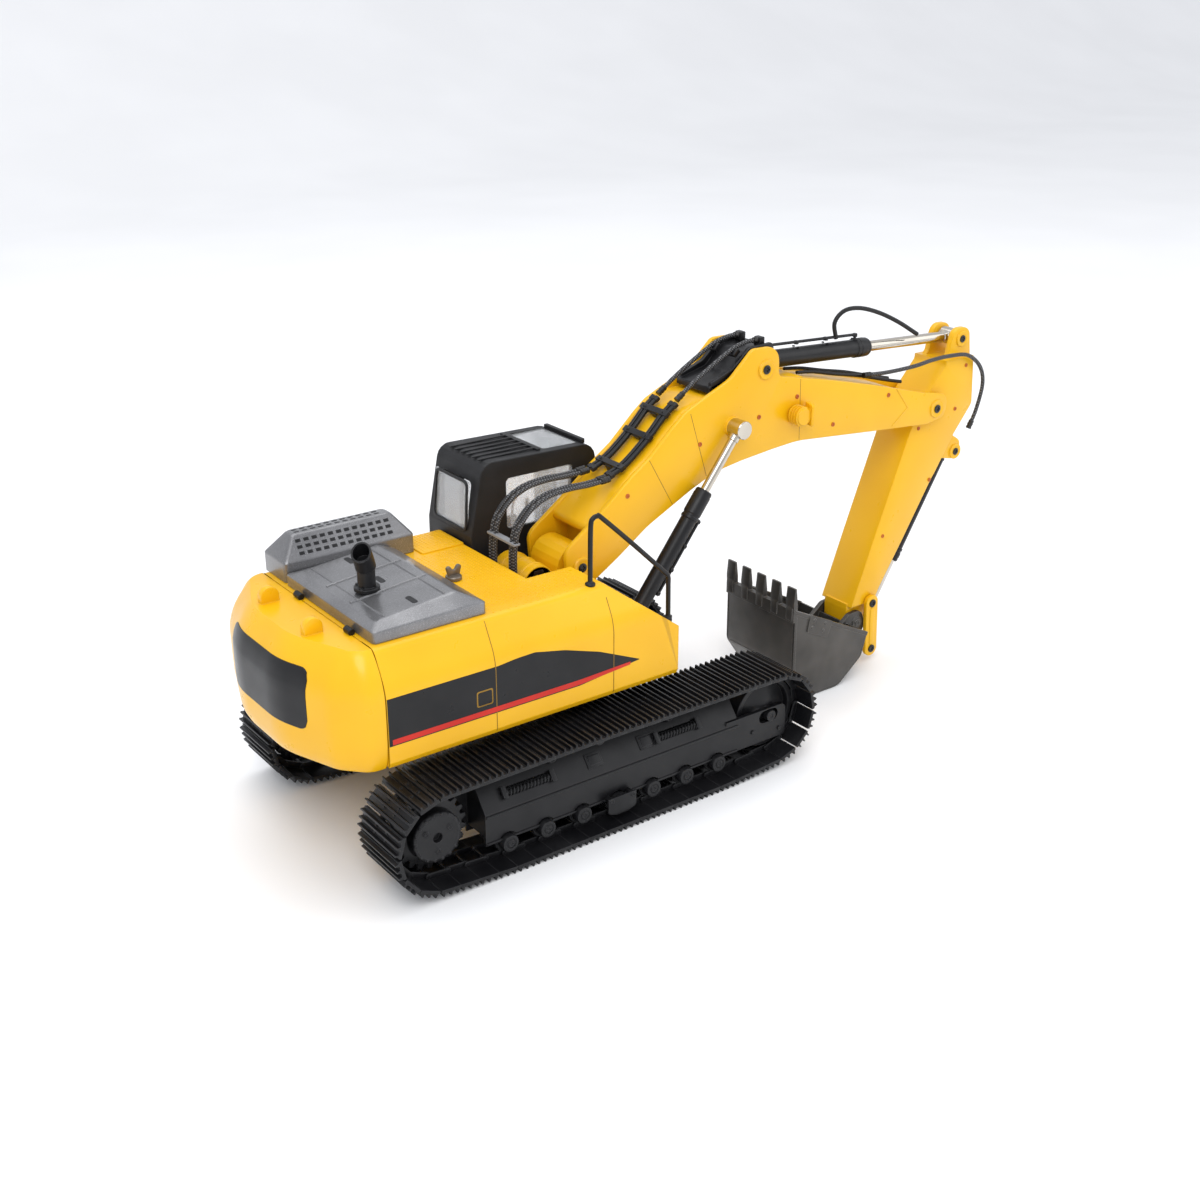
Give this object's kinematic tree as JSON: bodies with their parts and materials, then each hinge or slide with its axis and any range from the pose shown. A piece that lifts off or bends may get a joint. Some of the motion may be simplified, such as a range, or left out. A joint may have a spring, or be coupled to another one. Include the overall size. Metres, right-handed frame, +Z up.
{
  "type": "toy excavator",
  "caption": "Tracked toy excavator with slewing house, left-hand cab, opening engine hood, jointed boom, stick and toothed bucket, and sliding hydraulic cylinders.",
  "frame": {"origin": "middle of the whole model's box, on the ground under the tracks", "axes": "+X from the counterweight towards the bucket, +Y towards the cab side, +Z up"},
  "size_m": [0.5614, 0.195, 0.2528],
  "materials": {
    "yellow_paint": "semi-gloss paint",
    "black_plastic": "satin moulded plastic",
    "track_black": "satin black",
    "silver_paint": "satin pearl silver paint",
    "gunmetal": "satin metallic grey",
    "rod_chrome": "polished",
    "hose_rubber": "braided sleeve",
    "clear_plastic": "clear moulded pane",
    "inner_grey": "plain",
    "board_green": "circuit board",
    "pin_steel": "dark burnished steel"
  },
  "bodies": {
    "undercarriage": {"car_body": "black_plastic", "slew_ring": "inner_grey", "track_frame_right": "black_plastic", "track_frame_left": "black_plastic", "track_belt_right": "track_black", "track_belt_left": "track_black"},
    "sprocket_right": {"sprocket_right": "black_plastic"},
    "idler_right": {"idler_right": "black_plastic"},
    "carrier_roller_right": {"carrier_roller_right": "black_plastic"},
    "road_wheel_right_1": {"road_wheel_right_1": "black_plastic"},
    "road_wheel_right_2": {"road_wheel_right_2": "black_plastic"},
    "road_wheel_right_3": {"road_wheel_right_3": "black_plastic"},
    "road_wheel_right_4": {"road_wheel_right_4": "black_plastic"},
    "road_wheel_right_5": {"road_wheel_right_5": "black_plastic"},
    "road_wheel_right_6": {"road_wheel_right_6": "black_plastic"},
    "road_wheel_right_7": {"road_wheel_right_7": "black_plastic"},
    "sprocket_left": {"sprocket_left": "black_plastic"},
    "idler_left": {"idler_left": "black_plastic"},
    "carrier_roller_left": {"carrier_roller_left": "black_plastic"},
    "road_wheel_left_1": {"road_wheel_left_1": "black_plastic"},
    "road_wheel_left_2": {"road_wheel_left_2": "black_plastic"},
    "road_wheel_left_3": {"road_wheel_left_3": "black_plastic"},
    "road_wheel_left_4": {"road_wheel_left_4": "black_plastic"},
    "road_wheel_left_5": {"road_wheel_left_5": "black_plastic"},
    "road_wheel_left_6": {"road_wheel_left_6": "black_plastic"},
    "road_wheel_left_7": {"road_wheel_left_7": "black_plastic"},
    "house": {"house_deck": "yellow_paint", "counterweight": "yellow_paint", "louvre_box": "silver_paint", "cab_frame": "black_plastic", "windscreen": "clear_plastic", "cab_seat": "inner_grey", "handrail": "black_plastic", "battery_pack": "inner_grey", "control_board": "board_green", "slew_motor": "inner_grey", "deck_hoses": "hose_rubber", "boom_foot_pin": "pin_steel"},
    "hood": {"engine_hood": "silver_paint", "exhaust_stack": "black_plastic"},
    "latch": {"hood_latch": "pin_steel"},
    "boom": {"boom": "yellow_paint", "boom_pipes": "black_plastic", "boom_lamp": "yellow_paint", "hose_bracket": "black_plastic", "knee_hoses": "hose_rubber"},
    "boom_rod_right": {"boom_cylinder_rod_right": "rod_chrome"},
    "boom_barrel_right": {"boom_cylinder_barrel_right": "black_plastic"},
    "boom_rod_left": {"boom_cylinder_rod_left": "rod_chrome"},
    "boom_barrel_left": {"boom_cylinder_barrel_left": "black_plastic"},
    "stick": {"stick": "yellow_paint", "stick_pin": "pin_steel", "stick_hose": "hose_rubber"},
    "arm_barrel": {"arm_cylinder_barrel": "black_plastic"},
    "arm_rod": {"arm_cylinder_rod": "rod_chrome"},
    "rocker": {"rocker_link": "yellow_paint"},
    "bucket_link": {"bucket_link": "yellow_paint"},
    "bucket": {"bucket": "gunmetal"},
    "bucket_barrel": {"bucket_cylinder_barrel": "black_plastic"},
    "bucket_rod": {"bucket_cylinder_rod": "rod_chrome"}
  },
  "joints": [
    {"name": "sprocket_right_turn", "type": "hinge", "parent": "undercarriage", "child": "sprocket_right", "pos_m": [-0.22224, -0.0765, 0.0349], "axis": [0, 1, 0], "continuous": true},
    {"name": "idler_right_turn", "type": "hinge", "parent": "undercarriage", "child": "idler_right", "pos_m": [0.01926, -0.0765, 0.0349], "axis": [0, 1, 0], "continuous": true},
    {"name": "carrier_roller_right_turn", "type": "hinge", "parent": "undercarriage", "child": "carrier_roller_right", "pos_m": [-0.10924, -0.0765, 0.0565], "axis": [0, 1, 0], "continuous": true},
    {"name": "road_wheel_right_1_turn", "type": "hinge", "parent": "undercarriage", "child": "road_wheel_right_1", "pos_m": [-0.17704, -0.0765, 0.0156], "axis": [0, 1, 0], "continuous": true},
    {"name": "road_wheel_right_2_turn", "type": "hinge", "parent": "undercarriage", "child": "road_wheel_right_2", "pos_m": [-0.15154, -0.0765, 0.0156], "axis": [0, 1, 0], "continuous": true},
    {"name": "road_wheel_right_3_turn", "type": "hinge", "parent": "undercarriage", "child": "road_wheel_right_3", "pos_m": [-0.12604, -0.0765, 0.0156], "axis": [0, 1, 0], "continuous": true},
    {"name": "road_wheel_right_4_turn", "type": "hinge", "parent": "undercarriage", "child": "road_wheel_right_4", "pos_m": [-0.10054, -0.0765, 0.0156], "axis": [0, 1, 0], "continuous": true},
    {"name": "road_wheel_right_5_turn", "type": "hinge", "parent": "undercarriage", "child": "road_wheel_right_5", "pos_m": [-0.07504, -0.0765, 0.0156], "axis": [0, 1, 0], "continuous": true},
    {"name": "road_wheel_right_6_turn", "type": "hinge", "parent": "undercarriage", "child": "road_wheel_right_6", "pos_m": [-0.04954, -0.0765, 0.0156], "axis": [0, 1, 0], "continuous": true},
    {"name": "road_wheel_right_7_turn", "type": "hinge", "parent": "undercarriage", "child": "road_wheel_right_7", "pos_m": [-0.02404, -0.0765, 0.0156], "axis": [0, 1, 0], "continuous": true},
    {"name": "sprocket_left_turn", "type": "hinge", "parent": "undercarriage", "child": "sprocket_left", "pos_m": [-0.22224, 0.0765, 0.0349], "axis": [0, 1, 0], "continuous": true},
    {"name": "idler_left_turn", "type": "hinge", "parent": "undercarriage", "child": "idler_left", "pos_m": [0.01926, 0.0765, 0.0349], "axis": [0, 1, 0], "continuous": true},
    {"name": "carrier_roller_left_turn", "type": "hinge", "parent": "undercarriage", "child": "carrier_roller_left", "pos_m": [-0.10924, 0.0765, 0.0565], "axis": [0, 1, 0], "continuous": true},
    {"name": "road_wheel_left_1_turn", "type": "hinge", "parent": "undercarriage", "child": "road_wheel_left_1", "pos_m": [-0.17704, 0.0765, 0.0156], "axis": [0, 1, 0], "continuous": true},
    {"name": "road_wheel_left_2_turn", "type": "hinge", "parent": "undercarriage", "child": "road_wheel_left_2", "pos_m": [-0.15154, 0.0765, 0.0156], "axis": [0, 1, 0], "continuous": true},
    {"name": "road_wheel_left_3_turn", "type": "hinge", "parent": "undercarriage", "child": "road_wheel_left_3", "pos_m": [-0.12604, 0.0765, 0.0156], "axis": [0, 1, 0], "continuous": true},
    {"name": "road_wheel_left_4_turn", "type": "hinge", "parent": "undercarriage", "child": "road_wheel_left_4", "pos_m": [-0.10054, 0.0765, 0.0156], "axis": [0, 1, 0], "continuous": true},
    {"name": "road_wheel_left_5_turn", "type": "hinge", "parent": "undercarriage", "child": "road_wheel_left_5", "pos_m": [-0.07504, 0.0765, 0.0156], "axis": [0, 1, 0], "continuous": true},
    {"name": "road_wheel_left_6_turn", "type": "hinge", "parent": "undercarriage", "child": "road_wheel_left_6", "pos_m": [-0.04954, 0.0765, 0.0156], "axis": [0, 1, 0], "continuous": true},
    {"name": "road_wheel_left_7_turn", "type": "hinge", "parent": "undercarriage", "child": "road_wheel_left_7", "pos_m": [-0.02404, 0.0765, 0.0156], "axis": [0, 1, 0], "continuous": true},
    {"name": "slew", "type": "hinge", "parent": "undercarriage", "child": "house", "pos_m": [-0.09924, 0, 0.079], "axis": [0, 0, 1], "continuous": true},
    {"name": "hood_open", "type": "hinge", "parent": "house", "child": "hood", "pos_m": [-0.24004, 0, 0.1449], "axis": [0, -1, 0], "range_deg": [0, 70]},
    {"name": "latch_turn", "type": "hinge", "parent": "house", "child": "latch", "pos_m": [-0.15924, -0.0093, 0.1446], "axis": [0, 0, 1], "range_deg": [0, 90]},
    {"name": "boom_lift", "type": "hinge", "parent": "house", "child": "boom", "pos_m": [-0.07724, 0, 0.136], "axis": [0, -1, 0], "range_deg": [-20, 25], "deforming": ["deck_hoses"]},
    {"name": "boom_rod_right_swing", "type": "hinge", "parent": "boom", "child": "boom_rod_right", "pos_m": [0.03856, -0.0276, 0.203], "axis": [0, -1, 0], "range_deg": [-4, 4]},
    {"name": "boom_barrel_right_slide", "type": "slide", "parent": "boom_rod_right", "child": "boom_barrel_right", "axis": [-0.6069, 0, -0.7948], "range_m": [-0.018, 0.0225]},
    {"name": "boom_rod_left_swing", "type": "hinge", "parent": "boom", "child": "boom_rod_left", "pos_m": [0.03856, 0.0276, 0.203], "axis": [0, -1, 0], "range_deg": [-4, 4]},
    {"name": "boom_barrel_left_slide", "type": "slide", "parent": "boom_rod_left", "child": "boom_barrel_left", "axis": [-0.6069, 0, -0.7948], "range_m": [-0.018, 0.0225]},
    {"name": "stick_swing", "type": "hinge", "parent": "boom", "child": "stick", "pos_m": [0.22676, 0, 0.182], "axis": [0, -1, 0], "range_deg": [-15, 50], "deforming": ["stick_hose"]},
    {"name": "arm_barrel_swing", "type": "hinge", "parent": "boom", "child": "arm_barrel", "pos_m": [0.06506, 0, 0.235], "axis": [0, -1, 0], "range_deg": [-2, 5]},
    {"name": "arm_rod_slide", "type": "slide", "parent": "arm_barrel", "child": "arm_rod", "axis": [0.9987, 0, -0.0518], "range_m": [-0.045, 0.0145]},
    {"name": "bucket_curl", "type": "hinge", "parent": "stick", "child": "bucket", "pos_m": [0.16826, 0, 0.033], "axis": [0, -1, 0], "range_deg": [-10, 90]},
    {"name": "rocker_swing", "type": "hinge", "parent": "stick", "child": "rocker", "pos_m": [0.17976, 0, 0.046], "axis": [0, -1, 0], "range_deg": [-8, 61]},
    {"name": "bucket_link_swing", "type": "hinge", "parent": "rocker", "child": "bucket_link", "pos_m": [0.18176, 0, 0.01], "axis": [0, -1, 0], "range_deg": [-51, 7]},
    {"name": "bucket_barrel_swing", "type": "hinge", "parent": "stick", "child": "bucket_barrel", "pos_m": [0.26176, 0, 0.142], "axis": [0, -1, 0], "range_deg": [-2, 10]},
    {"name": "bucket_rod_slide", "type": "slide", "parent": "bucket_barrel", "child": "bucket_rod", "axis": [-0.5183, 0, -0.8552], "range_m": [-0.031, 0.0045]}
  ],
  "couplings": [
    {"joint": "idler_right_turn", "follows": "sprocket_right_turn", "ratio": 0.9655},
    {"joint": "carrier_roller_right_turn", "follows": "sprocket_right_turn", "ratio": 6.5882},
    {"joint": "road_wheel_right_1_turn", "follows": "sprocket_right_turn", "ratio": 3.2},
    {"joint": "road_wheel_right_2_turn", "follows": "sprocket_right_turn", "ratio": 3.2},
    {"joint": "road_wheel_right_3_turn", "follows": "sprocket_right_turn", "ratio": 3.2},
    {"joint": "road_wheel_right_4_turn", "follows": "sprocket_right_turn", "ratio": 3.2},
    {"joint": "road_wheel_right_5_turn", "follows": "sprocket_right_turn", "ratio": 3.2},
    {"joint": "road_wheel_right_6_turn", "follows": "sprocket_right_turn", "ratio": 3.2},
    {"joint": "road_wheel_right_7_turn", "follows": "sprocket_right_turn", "ratio": 3.2},
    {"joint": "idler_left_turn", "follows": "sprocket_left_turn", "ratio": 0.9655},
    {"joint": "carrier_roller_left_turn", "follows": "sprocket_left_turn", "ratio": 6.5882},
    {"joint": "road_wheel_left_1_turn", "follows": "sprocket_left_turn", "ratio": 3.2},
    {"joint": "road_wheel_left_2_turn", "follows": "sprocket_left_turn", "ratio": 3.2},
    {"joint": "road_wheel_left_3_turn", "follows": "sprocket_left_turn", "ratio": 3.2},
    {"joint": "road_wheel_left_4_turn", "follows": "sprocket_left_turn", "ratio": 3.2},
    {"joint": "road_wheel_left_5_turn", "follows": "sprocket_left_turn", "ratio": 3.2},
    {"joint": "road_wheel_left_6_turn", "follows": "sprocket_left_turn", "ratio": 3.2},
    {"joint": "road_wheel_left_7_turn", "follows": "sprocket_left_turn", "ratio": 3.2},
    {"joint": "boom_rod_right_swing", "follows": "boom_lift", "ratio": -0.1228},
    {"joint": "boom_barrel_right_slide", "follows": "boom_lift", "m_per_rad": 0.04975},
    {"joint": "boom_rod_left_swing", "follows": "boom_lift", "ratio": -0.1228},
    {"joint": "boom_barrel_left_slide", "follows": "boom_lift", "m_per_rad": 0.04975},
    {"joint": "arm_barrel_swing", "follows": "stick_swing", "ratio": 0.0808},
    {"joint": "arm_rod_slide", "follows": "stick_swing", "m_per_rad": -0.0502},
    {"joint": "rocker_swing", "follows": "bucket_curl", "ratio": 0.6704},
    {"joint": "bucket_link_swing", "follows": "bucket_curl", "ratio": -0.5623},
    {"joint": "bucket_barrel_swing", "follows": "bucket_curl", "ratio": 0.0961},
    {"joint": "bucket_rod_slide", "follows": "bucket_curl", "m_per_rad": -0.01893}
  ]
}
